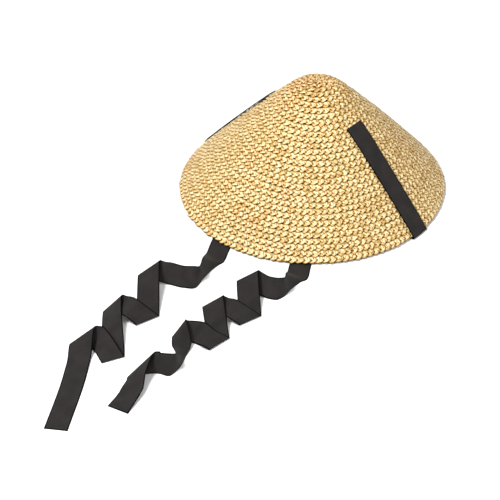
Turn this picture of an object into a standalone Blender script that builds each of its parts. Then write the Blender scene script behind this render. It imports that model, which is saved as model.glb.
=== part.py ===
"""A conical straw hat with two black ribbon ties, resting on a table.

The hat is one wall of sewn straw braid, hollow underneath, with a rounded tip that stands a little
off the rim's centre. Each ribbon is held inside the cone, comes out of a slit near the tip, lies down
the outside to the rim and turns under it. It then crosses the table beneath the hat, folded once,
and runs out in front in loose zigzag folds.

Metres, +Z up, the table at Z = 0. While it is built, X and Y start at the rim's centre, the slits
lie on the X axis and the ties run out towards -Y. At the end everything is moved so that the origin
is on the table, below the middle of the whole.
"""

import math
from collections import namedtuple

import bmesh
import bpy
from mathutils import Matrix, Vector

# The straw cone, measured on the middle of its wall.
WALL = 0.0025
RIM_RADIUS = 0.19875
CONE_HEIGHT = 0.2085        # from the rim to the point that the flanks aim at
FLANK_BULGE = 0.0034        # how far the flank stands out of a straight line
TIP_ROUND = 0.046           # plan radius where the flank turns into the rounded tip
TIP_LEAN = (0.0073, 0.0064)  # how far that point stands off the rim's centre, in X and Y

# The ribbons.
RIBBON_WIDTH = 0.031
RIBBON_THICKNESS = 0.001
GAP = 0.0003                # what touching pieces keep between them
SLIT_RADIUS = 0.0763        # distance of each slit from the rim's centre
SLIT_LENGTH = RIBBON_WIDTH + 0.0014
HELD_END = 0.018            # the length held against the inside, above the slit
CUT_DEPTH = 0.020           # of the box that cuts a slit through the wall

# The plain colours and roughnesses of the two materials.
STRAW = (0.72, 0.52, 0.26)
STRAW_ROUGHNESS = 0.65
BLACK = (0.012, 0.011, 0.011)
BLACK_ROUGHNESS = 0.8

# How finely the shapes are divided.
TURNS = 72                  # round the cone
FLANK_STEPS = 7
TIP_STEPS = 5
RIM_STEPS = 4
ACROSS = 4                  # across a ribbon
BAND_STEPS = 9              # down the outside of the cone
STEP_ANGLE = math.radians(24)   # in a fold
LEAST_BEND = 0.01           # radians; a smaller turn gets no bend
SHARP_EDGE = math.radians(40)   # faces that meet at more than this show an edge
SAME_PLACE = 0.00001
TRIES = 8                   # for a point that is found by closing in on it

RIM_HEIGHT = RIBBON_THICKNESS + GAP + WALL / 2
SKIN = WALL / 2 + GAP + RIBBON_THICKNESS / 2    # from the wall's middle to a ribbon's middle
TURN_IN = GAP + RIBBON_THICKNESS / 2            # a ribbon's bend round the edge of its slit
ON_TABLE = RIBBON_THICKNESS / 2

# One row for each line that a ribbon is folded or bent along, from the rim to its cut end: the
# middle of the line, its bearing and tilt in degrees from the first edge to the second, and the
# radius of the bend. A line's length follows from the ribbon's width and from how aslant it lies.
# A line with no radius goes straight across: the ribbon only twists there, or has a sharp crease.
Fold = namedtuple("Fold", "place x y z bearing tilt radius")

LEFT_FOLDS = [
    Fold("under the rim", -0.180, 0.000, ON_TABLE, 90, 0, 0.010),
    Fold("folded over", -0.094, 0.000, 0.0018, 147, 0, 0.0013),
    Fold("over itself", -0.080, -0.034, 0.0042, 204, 0, 0.040),
    Fold("out of the rim", -0.004, -0.2045, ON_TABLE, 180, 0, 0.010),
    Fold("lifts", 0.008, -0.2275, 0.0020, 185, 5, 0),
    Fold("twists", 0.018, -0.250, 0.0115, 245, 46, 0),
    Fold("on its edge", 0.024, -0.267, 0.0135, 272, 57, 0),
    Fold("stands", 0.028, -0.280, 0.0152, 284, 73, 0),
    Fold("turns", 0.027, -0.291, 0.0148, 141, 66, 0),
    Fold("leans back", 0.014, -0.299, 0.0132, 128, 54, 0),
    Fold("runs on", -0.006, -0.3065, 0.0140, 105, 55, 0),
    Fold("first crest", -0.030, -0.3215, 0.0215, 80, 10, 0.003),
    Fold("first valley", 0.030, -0.391, 0.0020, 73, 0, 0.0015),
    Fold("first arch", 0.006, -0.400, 0.0190, 97, 20, 0.012),
    Fold("second crest", -0.022, -0.402, 0.0125, 72, 28, 0.003),
    Fold("second valley", 0.050, -0.479, 0.0020, 63, 0, 0.0015),
    Fold("second arch", 0.0095, -0.4665, 0.0108, 88, 38, 0.012),
    Fold("third crest", -0.0045, -0.4785, 0.0155, 66, 24, 0.003),
    Fold("comes down", 0.016, -0.5085, 0.0012, 51, 3, 0.020),
    Fold("lies flat", 0.0425, -0.547, ON_TABLE, 39, 0, 0.020),
    Fold("cut end", 0.087, -0.620, ON_TABLE, 31, 0, 0),
]

RIGHT_FOLDS = [
    Fold("under the rim", 0.180, 0.000, ON_TABLE, 270, 0, 0.010),
    Fold("folded over", 0.014, 0.000, 0.0018, 240, 0, 0.0013),
    Fold("over itself", 0.031, -0.028, 0.0042, 211, 0, 0.040),
    Fold("out of the rim", 0.1145, -0.168, ON_TABLE, 205, 0, 0.010),
    Fold("lifts", 0.125, -0.186, 0.0020, 195, 5, 0),
    Fold("twists", 0.132, -0.205, 0.0120, 241, 49, 0),
    Fold("on its edge", 0.137, -0.222, 0.0152, 265, 70, 0),
    Fold("stands", 0.138, -0.232, 0.0158, 165, 84, 0),
    Fold("turns", 0.134, -0.238, 0.0147, 125, 66, 0),
    Fold("leans back", 0.123, -0.240, 0.0115, 118, 45, 0),
    Fold("first crest", 0.0845, -0.244, 0.0165, 66, 12, 0.003),
    Fold("first valley", 0.138, -0.303, 0.0020, 74, 0, 0.0015),
    Fold("first arch", 0.115, -0.311, 0.0150, 103, 16, 0.012),
    Fold("second crest", 0.087, -0.320, 0.0200, 76, 6, 0.003),
    Fold("second valley", 0.138, -0.366, 0.0020, 83, 0, 0.0015),
    Fold("rises", 0.125, -0.372, 0.0090, 93, 11, 0),
    Fold("second arch", 0.1085, -0.3742, 0.0115, 92, 42, 0.012),
    Fold("third crest", 0.091, -0.393, 0.0212, 88, 27, 0),
    Fold("over the crest", 0.092, -0.394, 0.0232, 88, 27, 0),
    Fold("hangs", 0.1075, -0.4065, 0.0108, 72, -20, 0),
    Fold("twists back", 0.1185, -0.4215, 0.0128, 86, -50, 0),
    Fold("turns again", 0.129, -0.441, 0.0158, 88, -83, 0),
    Fold("stands again", 0.126, -0.449, 0.0150, -48, -70, 0),
    Fold("leans again", 0.1135, -0.456, 0.0152, -90, -73, 0),
    Fold("fourth crest", 0.095, -0.469, 0.0095, -112, -33, 0.002),
    Fold("falls", 0.103, -0.489, 0.0095, -142, -31, 0),
    Fold("comes down", 0.1125, -0.5085, 0.0038, -156, -12, 0.020),
    Fold("cut end", 0.122, -0.544, ON_TABLE, -169, 0, 0),
]


def flank(radius):
    """Height above the rim, and slope, of the middle of the wall outside the rounded tip."""
    span = RIM_RADIUS - TIP_ROUND
    share = (radius - TIP_ROUND) / span
    height = CONE_HEIGHT * (1 - radius / RIM_RADIUS) + 4 * FLANK_BULGE * share * (1 - share)
    slope = -CONE_HEIGHT / RIM_RADIUS + 4 * FLANK_BULGE * (1 - 2 * share) / span
    return height, slope


def wall_middle(radius):
    """Height above the rim, and slope, of the middle of the wall at any radius."""
    if radius >= TIP_ROUND:
        return flank(radius)
    edge_height, edge_slope = flank(TIP_ROUND)
    ball = TIP_ROUND / math.sin(math.atan(-edge_slope))
    drop = math.sqrt(ball * ball - radius * radius)
    edge_drop = math.sqrt(ball * ball - TIP_ROUND * TIP_ROUND)
    return edge_height + drop - edge_drop, -radius / drop


def off_wall(radius, offset):
    """Radius and height above the rim of a point at an offset from the wall's middle, out is plus."""
    height, slope = wall_middle(radius)
    length = math.hypot(1, slope)
    return radius - slope * offset / length, height + offset / length


def lean(height):
    """How far the cone's axis has moved sideways at a height above the rim."""
    share = max(0.0, height) / CONE_HEIGHT
    return Vector((TIP_LEAN[0] * share, TIP_LEAN[1] * share))


def cone_point(radius, angle, offset):
    """A point at a plan radius on the leaning wall's middle, moved off it by the offset."""
    reach, height = off_wall(radius, offset)
    shift = lean(wall_middle(radius)[0])
    x = shift.x + reach * math.cos(angle)
    y = shift.y + reach * math.sin(angle)
    return Vector((x, y, RIM_HEIGHT + height))


def over(x, y, offset):
    """The point of the wall that lies above or below a place in plan, moved off it by the offset."""
    shift = Vector((0, 0))
    for _ in range(TRIES):
        plan = Vector((x, y)) - shift
        shift = lean(wall_middle(plan.length)[0])
    return cone_point(plan.length, math.atan2(plan.y, plan.x), offset)


def add_object(name, mesh, colour, roughness):
    """A named object with its own matt material."""
    thing = bpy.data.objects.new(name, mesh)
    bpy.context.scene.collection.objects.link(thing)
    material = bpy.data.materials.new(name)
    material.use_nodes = True
    shader = material.node_tree.nodes["Principled BSDF"]
    shader.inputs["Base Color"].default_value = (*colour, 1)
    shader.inputs["Roughness"].default_value = roughness
    shader.inputs["Metallic"].default_value = 0
    mesh.materials.append(material)
    return thing


def cone_outline():
    """The wall's section from the tip's outside, round the rim, to the tip's inside."""
    radii = [TIP_ROUND * i / TIP_STEPS for i in range(TIP_STEPS)]
    radii += [TIP_ROUND + (RIM_RADIUS - TIP_ROUND) * i / FLANK_STEPS for i in range(FLANK_STEPS + 1)]
    outside = [off_wall(radius, WALL / 2) for radius in radii]
    inside = [off_wall(radius, -WALL / 2) for radius in reversed(radii)]
    start = math.atan(-1 / wall_middle(RIM_RADIUS)[1])
    edge = []
    for i in range(1, RIM_STEPS):
        angle = start - math.pi * i / RIM_STEPS
        edge.append((RIM_RADIUS + WALL / 2 * math.cos(angle), WALL / 2 * math.sin(angle)))
    return outside + edge + inside


def slit_cutter(side):
    """A flat box through the wall, wide enough for the ribbon, at one slit."""
    middle = over(side * SLIT_RADIUS, 0, 0)
    out = (over(side * SLIT_RADIUS, 0, WALL) - middle).normalized()
    along = Vector((0, 1, 0))
    turned = Matrix((out, along, out.cross(along))).transposed().to_4x4()
    size = Matrix.Diagonal((CUT_DEPTH, SLIT_LENGTH, 2 * TURN_IN, 1))
    form = bmesh.new()
    bmesh.ops.create_cube(form, size=1, matrix=Matrix.Translation(middle) @ turned @ size)
    mesh = bpy.data.meshes.new("slit_cutter")
    form.to_mesh(mesh)
    form.free()
    cutter = bpy.data.objects.new("slit_cutter", mesh)
    bpy.context.scene.collection.objects.link(cutter)
    cutter.hide_render = True
    cutter.display_type = "WIRE"
    return cutter


def make_cone():
    """The straw wall, spun about its axis, leant, and cut by the two slits."""
    form = bmesh.new()
    rail = [form.verts.new((radius, 0, RIM_HEIGHT + height)) for radius, height in cone_outline()]
    edges = [form.edges.new(pair) for pair in zip(rail, rail[1:])]
    bmesh.ops.spin(
        form, geom=rail + edges, axis=(0, 0, 1), cent=(0, 0, 0),
        angle=2 * math.pi, steps=TURNS, use_merge=True,
    )
    bmesh.ops.remove_doubles(form, verts=form.verts, dist=SAME_PLACE)
    for vertex in form.verts:
        vertex.co.xy += lean(vertex.co.z - RIM_HEIGHT)
    bmesh.ops.recalc_face_normals(form, faces=form.faces)
    mesh = bpy.data.meshes.new("straw_cone")
    form.to_mesh(mesh)
    form.free()
    mesh.shade_smooth()
    mesh.set_sharp_from_angle(angle=SHARP_EDGE)
    cone = add_object("straw_cone", mesh, STRAW, STRAW_ROUGHNESS)
    for side in (1, -1):
        cut = cone.modifiers.new("slit", "BOOLEAN")
        cut.operation = "DIFFERENCE"
        cut.object = slit_cutter(side)
    return cone


def band_row(side, along, offset):
    """Points across a ribbon on the wall, on a plane square to the flank at its slit.

    along is measured up the flank from the slit, and offset off the wall's middle.
    """
    start = over(side * SLIT_RADIUS, 0, 0)
    up = (over(side * SLIT_RADIUS * 0.9, 0, 0) - start).normalized()
    row = []
    for i in range(ACROSS + 1):
        y = side * RIBBON_WIDTH * (0.5 - i / ACROSS)
        x = side * SLIT_RADIUS + along * up.x
        for _ in range(TRIES):
            error = along - (over(x, y, 0) - start).dot(up)
            x += error * up.x
        row.append(over(x, y, offset))
    return row


def rim_row(side, angle):
    """Points across a ribbon where it turns round the rim, at an angle above the level."""
    row = []
    for i in range(ACROSS + 1):
        y = RIBBON_WIDTH * (0.5 - i / ACROSS)
        bearing = math.asin(y / RIM_RADIUS)
        reach = RIM_RADIUS + SKIN * math.cos(angle)
        height = RIM_HEIGHT + SKIN * math.sin(angle)
        x = side * reach * math.cos(bearing)
        row.append(Vector((x, side * reach * math.sin(bearing), height)))
    return row


def bend_steps(turn):
    """Evenly spaced shares from 0 to 1 for a bend of that angle."""
    steps = max(1, math.ceil(abs(turn) / STEP_ANGLE))
    return [i / steps for i in range(steps + 1)]


def band_rows(side):
    """The ribbon's rows from its held end, through the slit and down the outside, to the table."""
    quarter = math.pi / 2
    rows = [band_row(side, HELD_END, -SKIN), band_row(side, HELD_END / 2, -SKIN)]
    for share in bend_steps(quarter):
        along = TURN_IN * (1 - math.sin(quarter * share))
        rows.append(band_row(side, along, -WALL / 2 - TURN_IN * math.cos(quarter * share)))
    for share in bend_steps(quarter):
        along = -TURN_IN * (1 - math.cos(quarter * share))
        rows.append(band_row(side, along, WALL / 2 + TURN_IN * math.sin(quarter * share)))
    slit_to_rim = (over(side * SLIT_RADIUS, 0, 0) - over(side * RIM_RADIUS, 0, 0)).length
    for i in range(1, BAND_STEPS):
        rows.append(band_row(side, -slit_to_rim * i / BAND_STEPS, SKIN))
    start = math.atan(-1 / wall_middle(RIM_RADIUS)[1])
    for share in bend_steps(start + quarter):
        rows.append(rim_row(side, start - (start + quarter) * share))
    return rows


def direction(fold):
    """The way a fold line points, from the ribbon's first edge to its second."""
    bearing, tilt = math.radians(fold.bearing), math.radians(fold.tilt)
    flat = math.cos(tilt)
    return Vector((flat * math.cos(bearing), flat * math.sin(bearing), math.sin(tilt)))


def across(line):
    """The part of a step along the ribbon that is square to a fold line, and its share along it."""
    def split(step):
        square = step - step.dot(line) * line
        return square.normalized(), step.dot(line) / square.length
    return split


def fold_rows(folds):
    """The ribbon's rows through its folds: each fold line is rolled round its bend.

    No line reaches below the table.
    """
    middles = [Vector((fold.x, fold.y, fold.z)) for fold in folds]
    rows = []
    for i, fold in enumerate(folds):
        line = direction(fold)
        split = across(line)
        steps = [b - a for a, b in zip(middles[max(i - 1, 0):i + 2], middles[max(i, 1):i + 2])]
        (way_in, slant_in), (way_out, slant_out) = split(steps[0]), split(steps[-1])
        half = RIBBON_WIDTH / 2
        if fold.radius:
            half *= (math.hypot(1, slant_in) + math.hypot(1, slant_out)) / 2
        turn = way_in.angle(way_out)
        bent = fold.radius and turn > LEAST_BEND
        outward = (way_in - way_out).normalized() if bent else Vector()
        forward = (way_in + way_out).normalized()
        for share in bend_steps(turn) if bent else [0.5]:
            angle = turn * (share - 0.5)
            roll = fold.radius * ((math.cos(angle) - 1) * outward + math.sin(angle) * forward)
            slide = fold.radius * angle * (slant_in if angle < 0 else slant_out) * line
            middle = middles[i] + roll + slide
            middle.z = max(middle.z, ON_TABLE + half * abs(line.z))
            rows.append([middle + line * half * (2 * j / ACROSS - 1) for j in range(ACROSS + 1)])
    return rows


def make_ribbon(name, side, folds):
    """One ribbon: a sheet extruded row by row, then given its thickness."""
    rows = band_rows(side) + fold_rows(folds)
    form = bmesh.new()
    row = [form.verts.new(point) for point in rows[0]]
    edges = [form.edges.new(pair) for pair in zip(row, row[1:])]
    for points in rows[1:]:
        grown = bmesh.ops.extrude_edge_only(form, edges=edges)["geom"]
        copies = {tuple(item.co): item for item in grown if isinstance(item, bmesh.types.BMVert)}
        row = [copies[tuple(vertex.co)] for vertex in row]
        edges = [form.edges.get(pair) for pair in zip(row, row[1:])]
        for vertex, point in zip(row, points):
            vertex.co = point
    bmesh.ops.recalc_face_normals(form, faces=form.faces)
    mesh = bpy.data.meshes.new(name)
    form.to_mesh(mesh)
    form.free()
    mesh.shade_smooth()
    mesh.set_sharp_from_angle(angle=SHARP_EDGE)
    ribbon = add_object(name, mesh, BLACK, BLACK_ROUGHNESS)
    thick = ribbon.modifiers.new("thickness", "SOLIDIFY")
    thick.thickness = RIBBON_THICKNESS
    thick.offset = 0
    return ribbon


def put_origin_below_middle(things):
    """Moves every mesh so that the origin is on the table, below the middle of the whole."""
    bpy.context.view_layer.update()
    depsgraph = bpy.context.evaluated_depsgraph_get()
    corners = []
    for thing in things:
        corners += thing.evaluated_get(depsgraph).bound_box
    middle = [(min(side) + max(side)) / 2 for side in zip(*corners)]
    move = Matrix.Translation((-middle[0], -middle[1], 0))
    for thing in bpy.context.scene.objects:
        thing.data.transform(move)


for thing in list(bpy.data.objects):
    bpy.data.objects.remove(thing)

cone = make_cone()
left = make_ribbon("ribbon_left", -1, LEFT_FOLDS)
right = make_ribbon("ribbon_right", 1, RIGHT_FOLDS)
put_origin_below_middle([cone, left, right])
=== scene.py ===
"""The looks of a conical straw hat: sewn braid, two black ribbon ties and a pale studio round them."""

import math
from collections import namedtuple

import bmesh
import bpy
import numpy as np
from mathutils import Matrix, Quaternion, Vector


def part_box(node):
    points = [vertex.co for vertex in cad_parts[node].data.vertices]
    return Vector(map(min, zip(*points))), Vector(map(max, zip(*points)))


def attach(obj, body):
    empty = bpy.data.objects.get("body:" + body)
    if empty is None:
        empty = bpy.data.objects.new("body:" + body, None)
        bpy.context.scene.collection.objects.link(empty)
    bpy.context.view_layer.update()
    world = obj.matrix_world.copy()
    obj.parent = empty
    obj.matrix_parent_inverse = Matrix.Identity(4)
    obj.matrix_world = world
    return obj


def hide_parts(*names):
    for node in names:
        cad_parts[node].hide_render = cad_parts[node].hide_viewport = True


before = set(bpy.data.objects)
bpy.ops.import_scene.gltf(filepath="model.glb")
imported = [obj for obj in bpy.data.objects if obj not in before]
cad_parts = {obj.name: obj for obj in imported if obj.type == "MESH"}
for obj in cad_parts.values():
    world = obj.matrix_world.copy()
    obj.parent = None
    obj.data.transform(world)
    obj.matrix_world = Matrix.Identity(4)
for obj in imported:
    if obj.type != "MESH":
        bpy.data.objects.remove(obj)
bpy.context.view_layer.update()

# The straw. A flat plait of split straw is sewn round and round from the tip to the rim, and every
# round laps over the upper edge of the next. Each round is a closed ring of braid here, and it lies on
# the cone that the solid gives, whose tip leans a little and whose flanks swell a little.
WALL = 0.0025
CONE_HEIGHT = 0.2085        # from the rim to the point that the flanks aim at
FLANK_BULGE = 0.0034        # how far the flank stands out of a straight line
TIP_ROUND = 0.046           # plan radius where the flank turns into the rounded tip
TIP_LEAN = (0.0073, 0.0064)     # how far the flanks' point stands off the rim's centre, in X and Y
SLIT_RADIUS = 0.0763        # distance of each slit from the rim's centre
PROFILE_POINTS = 600        # of the wall, from the tip to a little past the rim
PAST_THE_RIM = 1.01
BRAID_PITCH = 0.0087        # from one round's lower edge to the next
SPLINT_WIDTH = 0.0093       # round the hat
LEAST_SPLINTS = 6           # in the smallest round
ACROSS_SPLINT = (0, 0.10, 0.29, 0.5, 0.71, 0.90)    # where the mesh lines lie in one splint
ROUND_OF_BACKS = 0.7        # a lower power makes the splints' backs flatter
LEAN_OF_ENDS = 0.72         # a lower power moves the ends' lowest points to the left
SCALLOP = 0.82              # depth of the lip's scallops, in pitches
EDGE_SCALLOP = 0.30         # on the last round, whose splints turn back along the rim
UNEVEN_LIFT = 0.00022       # how much the splints differ
UNEVEN_EDGE = 0.09          # in pitches
UNEVEN_WIDTH = 0.07         # in splints
EVEN_BELOW = 0.0005         # lines that stand lower off the wall keep their lift
FIRST_SEED = 11             # a piece's seed is this plus the number of its first round
SAME_PLACE = 0.00001        # points closer than this are one

# In the braid's map each splint is one wide and each round one high. A round reaches a pitch up behind
# the one above it, so its own pitch starts half way down its height and takes less than half of it.
MAP_START = 0.5
MAP_PITCH = 0.4

# One row for each line round the braid's section, from the hidden upper edge over the outside to the
# lip and back up the inside: how far down its pitch, how far off the wall's middle, how deep the grooves
# between the splints, how far sideways the splints have run, in splints, and how much of the scallops
# of the lip it has.
Line = namedtuple("Line", "place down lift groove along scallop")
BRAID = [
    Line("hidden upper edge", -0.95, -0.0008, 0.0000, 0.00, 0),
    Line("behind the lip above", -0.50, -0.0001, 0.0005, 0.02, 0),
    Line("below the lip above", 0.00, 0.0006, 0.0007, 0.10, 0),
    Line("upper splints", 0.24, 0.0011, 0.0007, 0.20, 0.05),
    Line("where they cross", 0.44, 0.0015, 0.0009, 0.30, 0.20),
    Line("lower splints", 0.66, 0.0018, 0.0012, 0.18, 0.50),
    Line("their round ends", 0.86, 0.0019, 0.0014, -0.02, 0.80),
    Line("folded edge", 0.97, 0.0015, 0.0010, -0.12, 0.96),
    Line("lip", 1.00, 0.0003, 0.0005, -0.11, 1),
    Line("lip inside", 0.94, -0.0005, 0.0001, -0.08, 0.8),
    Line("inside", 0.45, -0.0009, -0.0004, 0.10, 0.15),
    Line("inside upper part", 0.00, -0.0013, -0.0006, 0.16, 0),
    Line("hidden upper edge again", -0.95, -0.0008, 0.0000, 0.00, 0),
]

# The rim's centre in plan, and the middle of the wall at the rim.
straw_low, straw_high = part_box("straw_cone")
HAT = Vector(((straw_low.x + straw_high.x) / 2, (straw_low.y + straw_high.y) / 2))
RIM_RADIUS = (straw_high.x - straw_low.x) / 2 - WALL / 2
RIM_HEIGHT = straw_low.z + WALL / 2


def flank(radius):
    """Height above the rim, and slope, of the middle of the wall outside the rounded tip."""
    span = RIM_RADIUS - TIP_ROUND
    share = (radius - TIP_ROUND) / span
    height = CONE_HEIGHT * (1 - radius / RIM_RADIUS) + 4 * FLANK_BULGE * share * (1 - share)
    slope = -CONE_HEIGHT / RIM_RADIUS + 4 * FLANK_BULGE * (1 - 2 * share) / span
    return height, slope


def wall_middle(radius):
    """Height above the rim, and slope, of the middle of the wall at any radius."""
    if radius >= TIP_ROUND:
        return flank(radius)
    edge_height, edge_slope = flank(TIP_ROUND)
    ball = TIP_ROUND / math.sin(math.atan(-edge_slope))
    drop = math.sqrt(ball * ball - radius * radius)
    edge_drop = math.sqrt(ball * ball - TIP_ROUND * TIP_ROUND)
    return edge_height + drop - edge_drop, -radius / drop


radii = np.linspace(0, RIM_RADIUS * PAST_THE_RIM, PROFILE_POINTS)
heights, slopes = np.array([wall_middle(radius) for radius in radii]).T
slants = np.concatenate([[0], np.cumsum(np.hypot(np.diff(radii), np.diff(heights)))])
RIM_SLANT = float(np.interp(RIM_RADIUS, radii, slants))
SLIT_SLANT = float(np.interp(SLIT_RADIUS, radii, slants))
ROUNDS_ABOVE = round(SLIT_SLANT / BRAID_PITCH)      # the slits
ROUNDS_BELOW = round((RIM_SLANT - SLIT_SLANT) / BRAID_PITCH)
ROUNDS = ROUNDS_ABOVE + ROUNDS_BELOW


def on_wall(slant, angle, lift):
    """Points at distances down the slant and bearings round the hat, lifted off the wall's middle."""
    radius = np.interp(slant, slants, radii)
    height = np.interp(slant, slants, heights)
    slope = np.interp(slant, slants, slopes)
    run = np.hypot(1, slope)
    reach = radius - slope * lift / run
    leant = np.maximum(height, 0) / CONE_HEIGHT
    x = HAT.x + TIP_LEAN[0] * leant + reach * np.cos(angle)
    y = HAT.y + TIP_LEAN[1] * leant + reach * np.sin(angle)
    return np.stack([x, y, RIM_HEIGHT + height + lift / run], -1)


def flat_grid(form, columns, lines):
    """The vertices of a flat grid, and the numbers of the column and the line that each is on."""
    grid = bmesh.ops.create_grid(form, x_segments=columns, y_segments=lines, size=0.5)["verts"]
    shares = np.array([vertex.co.xy for vertex in grid]) + 0.5
    column, line = np.rint(shares * (columns, lines)).astype(int).T
    return grid, column, line


def lay_map(form, name, grid, across, along):
    """Gives each corner of a grid's faces its place on the piece's map."""
    layer = form.loops.layers.uv.get(name) or form.loops.layers.uv.new(name)
    places = dict(zip(grid, zip(across, along)))
    for face in {face for vertex in grid for face in vertex.link_faces}:
        for loop in face.loops:
            loop[layer].uv = places[loop.vert]


def shown(name, form):
    """An object at the origin of the scene, with its mesh from a bmesh."""
    mesh = bpy.data.meshes.new(name)
    form.to_mesh(mesh)
    form.free()
    piece = bpy.data.objects.new(name, mesh)
    bpy.context.scene.collection.objects.link(piece)
    return piece


def braid_round(form, number, upper, pitch, chance):
    """One closed round of braid: a flat grid, wrapped round the hat and round the braid's section."""
    middle = np.interp(upper + pitch / 2, slants, radii)
    splints = max(LEAST_SPLINTS, round(2 * math.pi * middle / SPLINT_WIDTH))
    grid, column, line = flat_grid(form, splints * len(ACROSS_SPLINT), len(BRAID) - 1)
    splint = column // len(ACROSS_SPLINT)
    share = np.array(ACROSS_SPLINT)[column % len(ACROSS_SPLINT)]
    down, lift, groove, along, scallop = np.array([row[1:] for row in BRAID])[line].T
    bump = np.sin(math.pi * share) ** ROUND_OF_BACKS
    end = np.sin(math.pi * share ** LEAN_OF_ENDS)
    higher = chance.normal(0, UNEVEN_LIFT, splints)[splint % splints]
    longer = chance.normal(0, UNEVEN_EDGE, splints)[splint % splints]
    strays = chance.normal(0, UNEVEN_WIDTH, splints)
    stray = strays[splint % splints] * (1 - share) + strays[(splint + 1) % splints] * share
    depth = EDGE_SCALLOP if number == ROUNDS - 1 else SCALLOP
    slant = upper + pitch * (down + scallop * (depth * (end - 1) + longer * end))
    turn = 2 * math.pi * (splint + share + along + stray) / splints + chance.uniform(0, 1)
    out = lift - groove * (1 - bump) + higher * bump * (lift > EVEN_BELOW)
    for vertex, point in zip(grid, on_wall(np.maximum(slant, 0), turn, out)):
        vertex.co = point
    lay_map(form, "braid", grid, splint + share, number + MAP_START + MAP_PITCH * down)


def braid(name, first, last, top, bottom):
    """A piece of the hat from one slant to another, in whole rounds of sewn braid."""
    form = bmesh.new()
    chance = np.random.default_rng(first + FIRST_SEED)
    pitch = (bottom - top) / (last - first)
    for number in range(first, last):
        braid_round(form, number, top + pitch * (number - first), pitch, chance)
    bmesh.ops.remove_doubles(form, verts=form.verts, dist=SAME_PLACE)
    bmesh.ops.recalc_face_normals(form, faces=form.faces)
    piece = shown(name, form)
    piece.data.shade_smooth()
    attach(piece, "root")
    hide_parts("straw_cone")
    return piece


def join(tree, node, inputs):
    """Links each of the inputs given to a socket, or sets it to a value."""
    for place, value in inputs.items():
        if isinstance(value, bpy.types.NodeSocket):
            tree.links.new(value, node.inputs[place])
        else:
            node.inputs[place].default_value = value


def add(tree, kind, inputs, **settings):
    """A new node with its settings and its inputs."""
    new = tree.nodes.new(kind)
    for name, value in settings.items():
        setattr(new, name, value)
    join(tree, new, inputs)
    return new


def ramp(tree, factor, stops):
    """The colour that a factor picks from stops of (place, colour)."""
    new = add(tree, "ShaderNodeValToRGB", {"Fac": factor})
    while len(new.color_ramp.elements) < len(stops):
        new.color_ramp.elements.new(0.5)
    for element, (place, colour) in zip(new.color_ramp.elements, stops):
        element.position = place
        element.color = (*colour, 1)
    return new.outputs["Color"]


def mixed(tree, factor, first, second, way="MIX"):
    """Two colours mixed by a factor."""
    inputs = {0: factor, 6: first, 7: second}
    return add(tree, "ShaderNodeMix", inputs, data_type="RGBA", blend_type=way).outputs[2]


def fade(tree, value, start, end):
    """0 where a value is at the start, 1 where it is at the end, smoothly between."""
    limits = {"Value": value, "From Min": start, "From Max": end}
    return add(tree, "ShaderNodeMapRange", limits, interpolation_type="SMOOTHSTEP").outputs["Result"]


def noise(tree, place, scale, detail):
    """Smooth noise over a surface, from 0 to 1."""
    inputs = {"Vector": place, "Scale": scale, "Detail": detail}
    return add(tree, "ShaderNodeTexNoise", inputs).outputs["Fac"]


def math_node(tree, operation, *values):
    """The result of a sum, a sine and so on."""
    return add(tree, "ShaderNodeMath", dict(enumerate(values)), operation=operation).outputs[0]


def product(tree, first, *others):
    """All the values multiplied."""
    for other in others:
        first = math_node(tree, "MULTIPLY", first, other)
    return first


def new_material(name):
    """A material, its node tree and its shader."""
    material = bpy.data.materials.new(name)
    material.use_nodes = True
    return material, material.node_tree, material.node_tree.nodes["Principled BSDF"]


# Dried straw: each splint has a tone of its own, from cream to gold, with fine lines along it and brown
# patches where the stalks had weathered. Light and shade are painted on it: a highlight on each splint's
# crest, shade in a darker gold towards its lower end, amber shade along its lip and left edge, rust
# where the straw had weathered, and dark shade in the gaps between the splints and under the round above.
CREAM = (0.77, 0.58, 0.285)
PALE_GOLD = (0.67, 0.475, 0.20)
GOLD = (0.55, 0.34, 0.095)
# painted shade for the lower end of each splint
GOLDEN_SHADE = (0.56, 0.35, 0.085)
# painted highlight, laid on each splint's crest
PAINTED_HIGHLIGHT = (0.92, 0.76, 0.45)
WEATHERED = (0.58, 0.29, 0.07)
# painted shade along the lip and left edge of each splint, rust where the straw has weathered
AMBER_LIP_SHADE = (0.24, 0.115, 0.004)
RUST_LIP_SHADE = (0.26, 0.08, 0.004)
# painted shade: the dark brown of the gaps between the splints and under the round above
GAP_SHADE = (0.045, 0.018, 0.0)
LINE_BROWN = (0.46, 0.30, 0.09)     # the tone is multiplied by it
CLEAR = (1, 1, 1)
OWN_TONES = [(0, GOLD), (0.15, PALE_GOLD), (0.5, CREAM), (1, PALE_GOLD)]
FINE_LINES = [(0.38, LINE_BROWN), (0.54, CLEAR)]
LINE_SCALE = (6, 5, 1)          # across a splint and down a round
LINE_DETAIL = 3
LINE_BUMP = 0.6
LINE_DEPTH = 0.0003
PATCH_SCALE = 14                # in a metre
PATCH_DETAIL = 3
STRAW_ROUGHNESS = 0.5
SHEEN_OF_STRAW = 0.2            # none of it in the gaps

# Where each mark on the straw starts and where it is full: the patches by their noise, and on a splint
# sideways in splints or down in pitches. Each share is the most that a mark hides of what is below it.
WORN = (0.50, 0.75)
WORN_SHARE = 0.7
TIP_WEATHER = (0.145, 0.185)    # heights between which the straw gets more weathered
TIP_WEATHER_MORE = 0.26         # added to the patches' noise above them
SHADED_LOWER_END = (0.55, 0.90)        # painted shade: the lower end of each splint, as it turns down, is a darker gold
SHADED_LOWER_END_SHARE = 0.7
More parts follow.
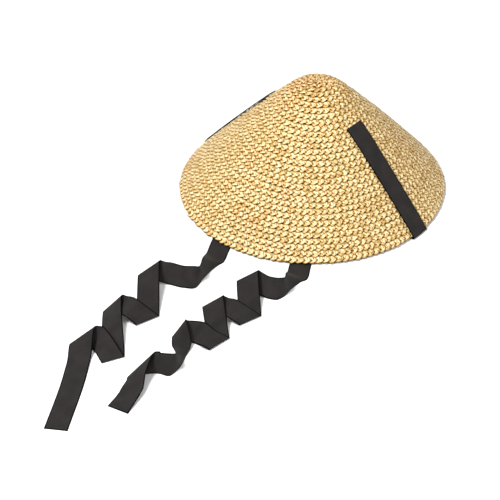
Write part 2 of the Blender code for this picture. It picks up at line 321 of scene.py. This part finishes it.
# painted highlight on each splint's crest, where the light from the upper left would catch it
HIGHLIGHT_FROM_LEFT = (0.02, 0.15)
HIGHLIGHT_FROM_RIGHT = (0.85, 0.60)
HIGHLIGHT_FROM_LIP = (0.90, 0.60)
HIGHLIGHT_CHANCE = (-0.50, 0.50)    # by the splint's own number
HIGHLIGHT_LINES = (0.42, 0.60)      # by the noise of the fine lines
# painted shade along each splint's left edge and its lip, where they turn away from the light
LEFT_EDGE_SHADE = (0.15, 0.03)
LEFT_EDGE_SHADE_DOWN = (0.30, 0.50)
LIP_SHADE_DOWN = (0.84, 0.96)
LIP_SHADE_SHARE = 0.95
SLASH_SHADE = (0.74, 0.88)            # painted shade in the gap on a splint's right
SLASH_SHADE_DOWN = (0.10, 0.30)
UNDER_LIP_SHADOW = (-0.08, -0.32)      # painted shadow under the round above
GAP_SHADE_SHARE = 0.97


def splint_marks(tree, side, down, own, lines):
    """How much a place on a splint gets of its painted crest highlight, painted lip shade and painted gap
    shade.
    """
    # the painted highlight on the crest
    crest = product(
        tree,
        fade(tree, side, *HIGHLIGHT_FROM_LEFT),
        fade(tree, side, *HIGHLIGHT_FROM_RIGHT),
        fade(tree, down, *HIGHLIGHT_FROM_LIP),
        fade(tree, own, *HIGHLIGHT_CHANCE),
        fade(tree, lines, *HIGHLIGHT_LINES),
    )
    # painted shade along the left edge and the lip
    left_edge_shade = product(tree, fade(tree, side, *LEFT_EDGE_SHADE), fade(tree, down, *LEFT_EDGE_SHADE_DOWN))
    lip = math_node(tree, "MAXIMUM", left_edge_shade, fade(tree, down, *LIP_SHADE_DOWN))
    # painted shade in the gaps
    slash_shade = product(tree, fade(tree, side, *SLASH_SHADE), fade(tree, down, *SLASH_SHADE_DOWN))
    gap = math_node(tree, "MAXIMUM", slash_shade, fade(tree, down, *UNDER_LIP_SHADOW))
    return crest, lip, gap


def straw_material():
    """Procedural dried straw on the braid's own map, whose whole numbers are splints and rounds."""
    material, tree, shader = new_material("dried straw")
    place = add(tree, "ShaderNodeUVMap", {}, uv_map="braid").outputs["UV"]
    whole = add(tree, "ShaderNodeVectorMath", {0: place}, operation="FLOOR").outputs["Vector"]
    inner = add(tree, "ShaderNodeVectorMath", {0: place}, operation="FRACTION").outputs["Vector"]
    parts = add(tree, "ShaderNodeSeparateXYZ", {"Vector": inner}).outputs
    side = parts["X"]
    down = math_node(tree, "MULTIPLY_ADD", parts["Y"], 1 / MAP_PITCH, -MAP_START / MAP_PITCH)
    own = add(tree, "ShaderNodeTexWhiteNoise", {"Vector": whole}, noise_dimensions="2D").outputs["Value"]
    stretched = add(tree, "ShaderNodeMapping", {"Vector": place, "Scale": LINE_SCALE}).outputs["Vector"]
    lines = noise(tree, stretched, 1, LINE_DETAIL)
    here = add(tree, "ShaderNodeTexCoord", {}).outputs["Object"]
    height = add(tree, "ShaderNodeSeparateXYZ", {"Vector": here}).outputs["Z"]
    more = product(tree, fade(tree, height, *TIP_WEATHER), TIP_WEATHER_MORE)
    worn = fade(tree, math_node(tree, "ADD", noise(tree, here, PATCH_SCALE, PATCH_DETAIL), more), *WORN)
    # painted shade towards each splint's lower end
    shaded_lower_end = product(tree, fade(tree, down, *SHADED_LOWER_END), SHADED_LOWER_END_SHARE)
    crest, lip, gap = splint_marks(tree, side, down, own, lines)
    tone = ramp(tree, own, OWN_TONES)
    tone = mixed(tree, product(tree, worn, WORN_SHARE), tone, (*WEATHERED, 1))
    tone = mixed(tree, 1.0, tone, ramp(tree, lines, FINE_LINES), "MULTIPLY")
    # painted shade: darker gold towards the lower end
    tone = mixed(tree, shaded_lower_end, tone, (*GOLDEN_SHADE, 1))
    # painted highlight on the crest
    tone = mixed(tree, crest, tone, (*PAINTED_HIGHLIGHT, 1))
    # painted shade along the lip and left edge: amber, turning rust where the straw has weathered
    lip_shade_tone = mixed(tree, worn, (*AMBER_LIP_SHADE, 1), (*RUST_LIP_SHADE, 1))
    tone = mixed(tree, product(tree, lip, LIP_SHADE_SHARE), tone, lip_shade_tone)
    # painted shade in the gaps between the splints and under the round above
    tone = mixed(tree, product(tree, gap, GAP_SHADE_SHARE), tone, (*GAP_SHADE, 1))
    gloss = product(tree, math_node(tree, "SUBTRACT", 1.0, gap), SHEEN_OF_STRAW)
    raised = add(tree, "ShaderNodeBump", {"Height": lines, "Strength": LINE_BUMP, "Distance": LINE_DEPTH})
    join(tree, shader, {
        "Base Color": tone,
        "Roughness": STRAW_ROUGHNESS,
        "Specular IOR Level": gloss,
        "Normal": raised.outputs["Normal"],
    })
    return material


straw = straw_material()
middle_round = ROUNDS_ABOVE + ROUNDS_BELOW // 2
middle_slant = SLIT_SLANT + (RIM_SLANT - SLIT_SLANT) * (ROUNDS_BELOW // 2) / ROUNDS_BELOW
crown = braid("braid_crown", 0, ROUNDS_ABOVE, 0, SLIT_SLANT)
flanks = braid("braid_flank", ROUNDS_ABOVE, middle_round, SLIT_SLANT, middle_slant)
rim = braid("braid_rim", middle_round, ROUNDS, middle_slant, RIM_SLANT)
for piece in (crown, flanks, rim):
    piece.data.materials.append(straw)

# The ties. Two lengths of black woven ribbon, each held inside the cone, come out of slits near the
# tip, lie down the outside, turn under the rim, cross the table below the hat folded once, and run out
# in front in loose folds. Their folds are the solids' own, with softer bends and a thinner cloth.
RIBBON_WIDTH = 0.031
RIBBON_THICKNESS = 0.001    # of the solid
CLOTH = 0.0006              # thickness of the cloth
GAP = 0.0003                # what touching pieces keep between them
BAND_LIFT = 0.0013          # how far the round splints keep the ribbon off the wall
HELD_END = 0.018            # the length held against the inside, above the slit
ACROSS = 10                 # across a ribbon
BAND_STEPS = 24             # down the outside of the cone
STEP_ANGLE = math.radians(12)   # in a bend
SPAN_STEP = 0.003           # between the rows that are put into long spans
LEAST_STEP = 0.000001       # taken for rows that lie on each other
LEAST_BEND = 0.01           # radians; a smaller turn gets no bend
FLANK_SAMPLE = 0.9          # of the slit's radius, where the flank's direction at the slit is taken
LEAN_TRIES = 6              # for a point of the leaning wall, found by closing in on it
LEVEL_TRIES = 8             # for a point at a given distance up the flank
SKIN = WALL / 2 + GAP + RIBBON_THICKNESS / 2    # from the wall's middle to a ribbon's middle
TURN_IN = GAP + RIBBON_THICKNESS / 2            # a ribbon's bend round the edge of its slit
ON_TABLE = RIBBON_THICKNESS / 2

# One row for each line that a ribbon is folded or bent along, from the rim to its cut end: the
# middle of the line, its bearing and tilt in degrees from the first edge to the second, and the
# radius of the bend. X and Y start at the rim's centre. A line with no radius goes straight across:
# the ribbon only twists there, or has a sharp crease.
Fold = namedtuple("Fold", "place x y z bearing tilt radius")

LEFT_FOLDS = [
    Fold("under the rim", -0.180, 0.000, ON_TABLE, 90, 0, 0.010),
    Fold("folded over", -0.094, 0.000, 0.0018, 147, 0, 0.0013),
    Fold("over itself", -0.080, -0.034, 0.0042, 204, 0, 0.040),
    Fold("out of the rim", -0.004, -0.2045, ON_TABLE, 180, 0, 0.010),
    Fold("lifts", 0.008, -0.2275, 0.0020, 185, 5, 0),
    Fold("twists", 0.018, -0.250, 0.0115, 245, 46, 0),
    Fold("on its edge", 0.024, -0.267, 0.0135, 272, 57, 0),
    Fold("stands", 0.028, -0.280, 0.0152, 284, 73, 0),
    Fold("turns", 0.027, -0.291, 0.0148, 141, 66, 0),
    Fold("leans back", 0.014, -0.299, 0.0132, 128, 54, 0),
    Fold("runs on", -0.006, -0.3065, 0.0140, 105, 55, 0),
    Fold("first crest", -0.030, -0.3215, 0.0215, 80, 10, 0.003),
    Fold("first valley", 0.030, -0.391, 0.0020, 73, 0, 0.0015),
    Fold("first arch", 0.006, -0.400, 0.0190, 97, 20, 0.012),
    Fold("second crest", -0.022, -0.402, 0.0125, 72, 28, 0.003),
    Fold("second valley", 0.050, -0.479, 0.0020, 63, 0, 0.0015),
    Fold("second arch", 0.0095, -0.4665, 0.0108, 88, 38, 0.012),
    Fold("third crest", -0.0045, -0.4785, 0.0155, 66, 24, 0.003),
    Fold("comes down", 0.016, -0.5085, 0.0012, 51, 3, 0.020),
    Fold("lies flat", 0.0425, -0.547, ON_TABLE, 39, 0, 0.020),
    Fold("cut end", 0.087, -0.620, ON_TABLE, 31, 0, 0),
]

RIGHT_FOLDS = [
    Fold("under the rim", 0.180, 0.000, ON_TABLE, 270, 0, 0.010),
    Fold("folded over", 0.014, 0.000, 0.0018, 240, 0, 0.0013),
    Fold("over itself", 0.031, -0.028, 0.0042, 211, 0, 0.040),
    Fold("out of the rim", 0.1145, -0.168, ON_TABLE, 205, 0, 0.010),
    Fold("lifts", 0.125, -0.186, 0.0020, 195, 5, 0),
    Fold("twists", 0.132, -0.205, 0.0120, 241, 49, 0),
    Fold("on its edge", 0.137, -0.222, 0.0152, 265, 70, 0),
    Fold("stands", 0.138, -0.232, 0.0158, 165, 84, 0),
    Fold("turns", 0.134, -0.238, 0.0147, 125, 66, 0),
    Fold("leans back", 0.123, -0.240, 0.0115, 118, 45, 0),
    Fold("first crest", 0.0845, -0.244, 0.0165, 66, 12, 0.003),
    Fold("first valley", 0.138, -0.303, 0.0020, 74, 0, 0.0015),
    Fold("first arch", 0.115, -0.311, 0.0150, 103, 16, 0.012),
    Fold("second crest", 0.087, -0.320, 0.0200, 76, 6, 0.003),
    Fold("second valley", 0.138, -0.366, 0.0020, 83, 0, 0.0015),
    Fold("rises", 0.125, -0.372, 0.0090, 93, 11, 0),
    Fold("second arch", 0.1085, -0.3742, 0.0115, 92, 42, 0.012),
    Fold("third crest", 0.091, -0.393, 0.0212, 88, 27, 0),
    Fold("over the crest", 0.092, -0.394, 0.0232, 88, 27, 0),
    Fold("hangs", 0.1075, -0.4065, 0.0108, 72, -20, 0),
    Fold("twists back", 0.1185, -0.4215, 0.0128, 86, -50, 0),
    Fold("turns again", 0.129, -0.441, 0.0158, 88, -83, 0),
    Fold("stands again", 0.126, -0.449, 0.0150, -48, -70, 0),
    Fold("leans again", 0.1135, -0.456, 0.0152, -90, -73, 0),
    Fold("fourth crest", 0.095, -0.469, 0.0095, -112, -33, 0.002),
    Fold("falls", 0.103, -0.489, 0.0095, -142, -31, 0),
    Fold("comes down", 0.1125, -0.5085, 0.0038, -156, -12, 0.020),
    Fold("cut end", 0.122, -0.544, ON_TABLE, -169, 0, 0),
]


def over(x, y, lift):
    """The point of the wall above or below a place in plan from the rim's centre, lifted off it."""
    shift = Vector((0, 0))
    for _ in range(LEAN_TRIES):
        plan = Vector((x, y)) - shift
        height = wall_middle(plan.length)[0]
        shift = Vector(TIP_LEAN) * max(height, 0) / CONE_HEIGHT
    slant = np.interp(plan.length, radii, slants)
    return Vector(on_wall(slant, math.atan2(plan.y, plan.x), lift))


def band_row(side, along, lift):
    """Points across a ribbon on the wall, at a distance up the flank from the slit."""
    start = over(side * SLIT_RADIUS, 0, 0)
    up = (over(side * SLIT_RADIUS * FLANK_SAMPLE, 0, 0) - start).normalized()
    row = []
    for i in range(ACROSS + 1):
        y = side * RIBBON_WIDTH * (0.5 - i / ACROSS)
        x = side * SLIT_RADIUS + along * up.x
        for _ in range(LEVEL_TRIES):
            error = along - (over(x, y, 0) - start).dot(up)
            x += error * up.x
        row.append(over(x, y, lift))
    return row


def rim_row(side, angle):
    """Points across a ribbon where it turns round the rim, at an angle above the level."""
    row = []
    for i in range(ACROSS + 1):
        bearing = math.asin(RIBBON_WIDTH * (0.5 - i / ACROSS) / RIM_RADIUS)
        reach = side * (RIM_RADIUS + (SKIN + BAND_LIFT) * math.cos(angle))
        x = HAT.x + reach * math.cos(bearing)
        y = HAT.y + reach * math.sin(bearing)
        row.append(Vector((x, y, RIM_HEIGHT + SKIN * math.sin(angle))))
    return row


def bend_steps(turn):
    """Evenly spaced shares from 0 to 1 for a bend of that angle."""
    steps = max(1, math.ceil(abs(turn) / STEP_ANGLE))
    return [i / steps for i in range(steps + 1)]


def band_rows(side):
    """The ribbon's rows from its held end, through the slit and down the outside, to the table."""
    quarter = math.pi / 2
    rows = [band_row(side, HELD_END, -SKIN), band_row(side, HELD_END / 2, -SKIN)]
    for share in bend_steps(quarter):
        along = TURN_IN * (1 - math.sin(quarter * share))
        rows.append(band_row(side, along, -WALL / 2 - TURN_IN * math.cos(quarter * share)))
    for share in bend_steps(quarter):
        along = -TURN_IN * (1 - math.cos(quarter * share))
        rows.append(band_row(side, along, WALL / 2 + TURN_IN * math.sin(quarter * share)))
    slit_to_rim = (over(side * SLIT_RADIUS, 0, 0) - over(side * RIM_RADIUS, 0, 0)).length
    for i in range(1, BAND_STEPS):
        rows.append(band_row(side, -slit_to_rim * i / BAND_STEPS, SKIN + BAND_LIFT))
    start = math.atan(-1 / wall_middle(RIM_RADIUS)[1])      # the angle that the rim's outside faces
    for share in bend_steps(start + quarter):
        rows.append(rim_row(side, start - (start + quarter) * share))
    return rows


def direction(fold):
    """The way a fold line points, from the ribbon's first edge to its second."""
    bearing, tilt = math.radians(fold.bearing), math.radians(fold.tilt)
    flat = math.cos(tilt)
    return Vector((flat * math.cos(bearing), flat * math.sin(bearing), math.sin(tilt)))


def split(step, line):
    """The part of a step along the ribbon that is square to a fold line, and its share along it."""
    square = step - step.dot(line) * line
    return square.normalized(), step.dot(line) / square.length


def fold_rows(folds):
    """The ribbon's rows through its folds: each fold line is rolled round its bend.

    No line reaches below the table.
    """
    middles = [Vector((HAT.x + fold.x, HAT.y + fold.y, fold.z)) for fold in folds]
    rows = []
    for i, fold in enumerate(folds):
        line = direction(fold)
        steps = [b - a for a, b in zip(middles[max(i - 1, 0):i + 2], middles[max(i, 1):i + 2])]
        (way_in, slant_in), (way_out, slant_out) = split(steps[0], line), split(steps[-1], line)
        half = RIBBON_WIDTH / 2
        if fold.radius:
            half *= (math.hypot(1, slant_in) + math.hypot(1, slant_out)) / 2
        turn = way_in.angle(way_out)
        bent = fold.radius and turn > LEAST_BEND
        outward = (way_in - way_out).normalized() if bent else Vector()
        forward = (way_in + way_out).normalized()
        for share in bend_steps(turn) if bent else [0.5]:
            angle = turn * (share - 0.5)
            roll = fold.radius * ((math.cos(angle) - 1) * outward + math.sin(angle) * forward)
            slide = fold.radius * angle * (slant_in if angle < 0 else slant_out) * line
            middle = middles[i] + roll + slide
            middle.z = max(middle.z, ON_TABLE + half * abs(line.z))
            rows.append([middle + line * half * (2 * j / ACROSS - 1) for j in range(ACROSS + 1)])
    return rows


def softened(rows):
    """The rows with more put into each long span, on curves that leave and meet the bends smoothly."""
    points = np.array(rows)
    steps = np.diff(points, axis=0)
    gaps = np.maximum(np.linalg.norm(steps[:, ACROSS // 2], axis=1), LEAST_STEP)[:, None, None]
    ways = steps / gaps
    tangents = np.concatenate([
        ways[:1],
        (ways[1:] * gaps[:-1] + ways[:-1] * gaps[1:]) / (gaps[1:] + gaps[:-1]),
        ways[-1:],
    ])
    out = [points[0]]
    for i, gap in enumerate(gaps[:, 0, 0]):
        count = max(1, math.ceil(gap / SPAN_STEP))
        for t in np.arange(1, count + 1) / count:
            out.append(
                (2 * t**3 - 3 * t**2 + 1) * points[i] + (t**3 - 2 * t**2 + t) * gap * tangents[i]
                + (3 * t**2 - 2 * t**3) * points[i + 1] + (t**3 - t**2) * gap * tangents[i + 1]
            )
    out = np.array(out)
    out[..., 2] = np.maximum(out[..., 2], CLOTH / 2)
    return out


def tie(name, node, side, folds):
    """One ribbon: a grid laid along its rows, mapped by its own width, and given its thickness."""
    rows = softened(band_rows(side) + fold_rows(folds))
    steps = np.linalg.norm(np.diff(rows[:, ACROSS // 2], axis=0), axis=1)
    length = np.concatenate([[0], np.cumsum(steps)])
    form = bmesh.new()
    grid, column, line = flat_grid(form, ACROSS, len(rows) - 1)
    lay_map(form, "cloth", grid, column / ACROSS, (length[-1] - length[line]) / RIBBON_WIDTH)
    for vertex, point in zip(grid, rows[line, column]):
        vertex.co = point
    piece = shown(name, form)
    piece.data.shade_smooth()
    thick = piece.modifiers.new("thickness", "SOLIDIFY")
    thick.thickness = CLOTH
    thick.offset = 0
    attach(piece, "root")
    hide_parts(node)
    return piece


# Black ribbon: a fine matt weave with fine ribs across it, and a selvedge down each side and along the
# sealed end painted darker and matt, as the line of shade where one fold lies on another. The black is a
# warm charcoal where the light falls on it.
CHARCOAL = (0.0125, 0.0108, 0.0100)
WORN_CHARCOAL = (0.021, 0.0185, 0.0175)
# painted shade: a dark band along the edges, drawing the line of shade where one fold lies on another
EDGE_SHADE = (0.0015, 0.0012, 0.0010)
EDGE_SHADE_WIDTH = 0.06       # as a share of the ribbon's width
SHADED = (0.78, 0.78, 0.78)     # the black is multiplied by it, or by the next
FADED = (1.15, 1.12, 1.10)
RUBBED = [(0.3, CHARCOAL), (0.75, WORN_CHARCOAL)]
RUB_SCALE = 26              # in a ribbon's width, as the shades' scale is
RUB_DETAIL = 4
SHADES = [(0.35, SHADED), (0.65, FADED)]
SHADE_SCALE = 1.3
SHADE_DETAIL = 2
RIBS = 44                   # in a length as long as the ribbon is wide
THREADS = 60                # across the ribbon
THREAD_HEIGHT = 0.4         # as a share of the ribs'
WEAVE_BUMP = 0.35
WEAVE_DEPTH = 0.0001
RIBBON_ROUGHNESS = 0.85
RIBBON_GLOSS = 0.2          # none of it on the painted edge shade
RIBBON_SHEEN = 0.03
SHEEN_ROUGHNESS = 0.5


def waves(tree, place, count):
    """That many waves in each unit of a place on the map."""
    return math_node(tree, "SINE", math_node(tree, "MULTIPLY", place, 2 * math.pi * count))


def ribbon_material():
    """Procedural black ribbed weave, on a map whose unit is the ribbon's width, from the cut end."""
    material, tree, shader = new_material("black ribbon")
    place = add(tree, "ShaderNodeUVMap", {}, uv_map="cloth").outputs["UV"]
    parts = add(tree, "ShaderNodeSeparateXYZ", {"Vector": place}).outputs
    across, along = parts["X"], parts["Y"]
    threads, ribs = waves(tree, across, THREADS), waves(tree, along, RIBS)
    weave = math_node(tree, "MULTIPLY_ADD", threads, THREAD_HEIGHT, ribs)
    tone = ramp(tree, noise(tree, place, RUB_SCALE, RUB_DETAIL), RUBBED)
    shades = ramp(tree, noise(tree, place, SHADE_SCALE, SHADE_DETAIL), SHADES)
    tone = mixed(tree, 1.0, tone, shades, "MULTIPLY")
    near_side = math_node(tree, "MINIMUM", across, math_node(tree, "SUBTRACT", 1.0, across))
    near_edge = math_node(tree, "MINIMUM", near_side, along)
    # painted shade along the edges
    edge_shade = fade(tree, near_edge, EDGE_SHADE_WIDTH, EDGE_SHADE_WIDTH / 2)
    tone = mixed(tree, edge_shade, tone, (*EDGE_SHADE, 1))
    gloss = math_node(tree, "MULTIPLY_ADD", edge_shade, -RIBBON_GLOSS, RIBBON_GLOSS)
    raised = add(tree, "ShaderNodeBump", {"Height": weave, "Strength": WEAVE_BUMP, "Distance": WEAVE_DEPTH})
    join(tree, shader, {
        "Base Color": tone,
        "Roughness": RIBBON_ROUGHNESS,
        "Specular IOR Level": gloss,
        "Sheen Weight": RIBBON_SHEEN,
        "Sheen Roughness": SHEEN_ROUGHNESS,
        "Normal": raised.outputs["Normal"],
    })
    return material


ribbon = ribbon_material()
left_tie = tie("left_tie", "ribbon_left", -1, LEFT_FOLDS)
right_tie = tie("right_tie", "ribbon_right", 1, RIGHT_FOLDS)
for piece in (left_tie, right_tie):
    piece.data.materials.append(ribbon)

# The studio: a pale floor, a soft light from the upper left of the camera, a wider and weaker one from
# the right, and a pale room. The camera looks down on the hat with its ties running towards it.
FLOOR_SIZE = 12.0
FLOOR_COLOUR = (0.95, 0.95, 0.95, 1)
FLOOR_ROUGHNESS = 0.9
ROOM_COLOUR = (1, 1, 1, 1)
ROOM_STRENGTH = 0.45
CAMERA_AIM = Vector((0.0347, -0.1828, 0.0011))  # from the rim's centre
CAMERA_AZIMUTH = 41.5       # in degrees, as the two angles below
CAMERA_HEIGHT = 37.31
CAMERA_ROLL = -1.49
CAMERA_DISTANCE = 2.4
LENS = 120.8                # in millimetres, as the sensor is
SENSOR = 36

form = bmesh.new()
bmesh.ops.create_grid(form, x_segments=1, y_segments=1, size=FLOOR_SIZE / 2)
floor = shown("floor", form)
pale, tree, shader = new_material("pale floor")
join(tree, shader, {"Base Color": FLOOR_COLOUR, "Roughness": FLOOR_ROUGHNESS})
floor.data.materials.append(pale)

room = bpy.data.worlds.new("room")
room.use_nodes = True
walls = room.node_tree.nodes["Background"]
join(room.node_tree, walls, {"Color": ROOM_COLOUR, "Strength": ROOM_STRENGTH})
bpy.context.scene.world = room


def set_up(thing, aim, azimuth, height, distance, roll=0):
    """Stands a light or the camera at a distance from its aim, facing it, with its angles in degrees."""
    azimuth, height = math.radians(azimuth), math.radians(height)
    flat = math.cos(height)
    back = Vector((math.sin(azimuth) * flat, -math.cos(azimuth) * flat, math.sin(height)))
    rolled = Quaternion((0, 0, 1), math.radians(roll))
    thing.location = aim + back * distance
    thing.rotation_mode = "QUATERNION"
    thing.rotation_quaternion = (-back).to_track_quat("-Z", "Y") @ rolled
    bpy.context.scene.collection.objects.link(thing)


def soft_light(name, azimuth, height, distance, size, power):
    """A square light that faces the hat."""
    data = bpy.data.lights.new(name, "AREA")
    data.size = size
    data.energy = power
    set_up(bpy.data.objects.new(name, data), HAT.to_3d(), azimuth, height, distance)


soft_light("key", azimuth=-10, height=55, distance=2.2, size=0.6, power=52)
soft_light("fill", azimuth=85, height=40, distance=2.6, size=1.6, power=23)

camera = bpy.data.objects.new("camera", bpy.data.cameras.new("camera"))
aim = HAT.to_3d() + CAMERA_AIM
set_up(camera, aim, CAMERA_AZIMUTH, CAMERA_HEIGHT, CAMERA_DISTANCE, CAMERA_ROLL)
camera.data.lens = LENS
camera.data.sensor_width = SENSOR
bpy.context.scene.camera = camera
bpy.context.scene.view_settings.view_transform = "Standard"

bpy.context.view_layer.update()
